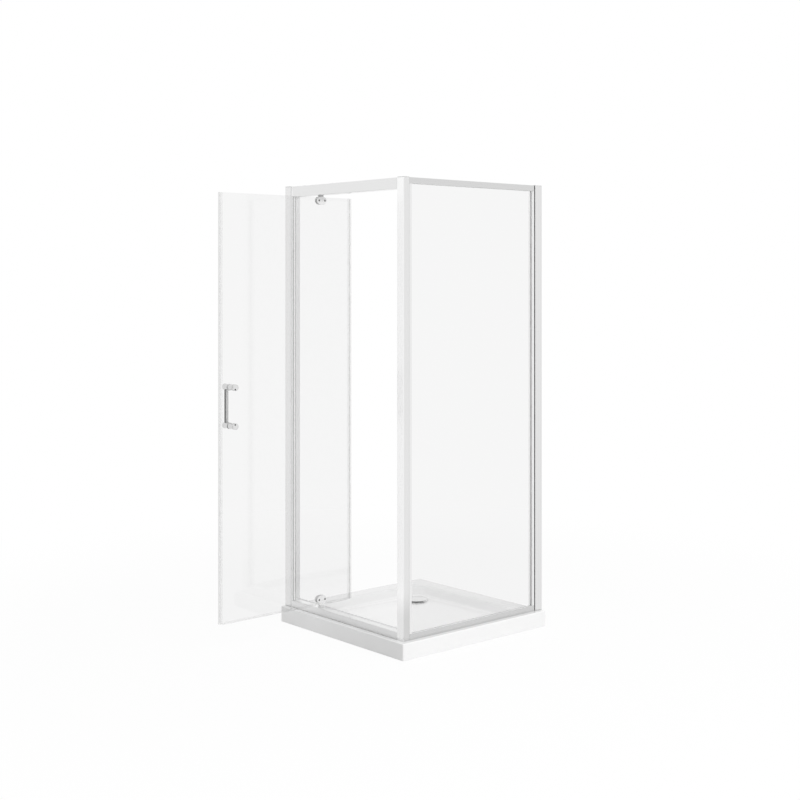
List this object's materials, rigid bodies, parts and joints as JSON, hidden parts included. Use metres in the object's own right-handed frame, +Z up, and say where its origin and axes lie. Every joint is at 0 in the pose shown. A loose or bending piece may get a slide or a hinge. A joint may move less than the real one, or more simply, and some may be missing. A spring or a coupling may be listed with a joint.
{
  "type": "square shower enclosure",
  "caption": "Corner shower enclosure with a framed pivot door, a framed fixed glass side and a raised square tray with a floor waste.",
  "frame": {"origin": "centre of the square tray, on the floor, at the underside of the middle foot", "axes": "+Z up; -Y is the door side, which the door opens towards; +X is the fixed glass side; the room's walls stand at -X and +Y"},
  "size_m": [0.823, 1.2959, 1.9201],
  "materials": {
    "white_acrylic": "smooth gloss white",
    "chipboard": "bare board, hidden under the tray",
    "white_plastic": "moulded",
    "bright_aluminium": "bright polished and anodised",
    "polished_chrome": "polished",
    "stainless_screw": "turned",
    "clear_glass": "clear toughened",
    "clear_seal": "clear soft extrusion",
    "grey_rubber": "matt",
    "grey_nylon": "moulded"
  },
  "bodies": {
    "enclosure": {"shower_tray": "white_acrylic", "tray_base_board": "chipboard", "tray_foot_centre": "white_plastic", "tray_foot_front_left": "white_plastic", "tray_foot_front_right": "white_plastic", "tray_foot_back_right": "white_plastic", "tray_foot_back_left": "white_plastic", "waste_flange": "polished_chrome", "waste_washer": "grey_rubber", "waste_backnut": "white_plastic", "wall_channel_front": "bright_aluminium", "expander_front": "bright_aluminium", "channel_cap_front": "white_plastic", "channel_screw_front_1": "stainless_screw", "channel_screw_front_2": "stainless_screw", "wall_channel_side": "bright_aluminium", "expander_side": "bright_aluminium", "channel_cap_side": "white_plastic", "channel_screw_side_1": "stainless_screw", "channel_screw_side_2": "stainless_screw", "head_rail_front": "bright_aluminium", "door_sill": "bright_aluminium", "hinge_jamb": "bright_aluminium", "corner_post": "bright_aluminium", "post_cap": "clear_seal", "strike_magnet_strip": "clear_seal", "pivot_bush_top": "grey_nylon", "pivot_bush_bottom": "grey_nylon", "side_jamb_post": "bright_aluminium", "side_jamb_wall": "bright_aluminium", "side_sill_rail": "bright_aluminium", "side_head_rail": "bright_aluminium", "side_glass": "clear_glass", "side_gasket_outer": "grey_rubber", "side_gasket_inner": "grey_rubber"},
    "door": {"door_glass": "clear_glass", "door_leading_seal": "clear_seal", "door_trailing_seal": "clear_seal", "door_bottom_seal_long": "clear_seal", "door_bottom_seal_short": "clear_seal", "hinge_top_body": "polished_chrome", "hinge_top_clamp": "polished_chrome", "hinge_top_pad_outer": "grey_rubber", "hinge_top_pad_inner": "grey_rubber", "hinge_top_screw_1": "stainless_screw", "hinge_top_screw_2": "stainless_screw", "hinge_bottom_body": "polished_chrome", "hinge_bottom_clamp": "polished_chrome", "hinge_bottom_pad_outer": "grey_rubber", "hinge_bottom_pad_inner": "grey_rubber", "hinge_bottom_screw_1": "stainless_screw", "hinge_bottom_screw_2": "stainless_screw", "handle_grip": "polished_chrome", "handle_knob_top": "polished_chrome", "handle_knob_bottom": "polished_chrome", "handle_sleeve_top": "grey_nylon", "handle_sleeve_bottom": "grey_nylon"},
    "strainer": {"waste_strainer": "white_plastic"},
    "cover": {"waste_cover": "polished_chrome"}
  },
  "joints": [
    {"name": "door_swing", "type": "hinge", "parent": "enclosure", "child": "door", "pos_m": [-0.185, -0.3635, 0.9883], "axis": [0, 0, 1], "range_deg": [-15, 90]},
    {"name": "strainer_lift", "type": "slide", "parent": "enclosure", "child": "strainer", "axis": [0, 0, 1], "range_m": [0, 0.06]},
    {"name": "cover_lift", "type": "slide", "parent": "strainer", "child": "cover", "axis": [0, 0, 1], "range_m": [0, 0.05]}
  ]
}
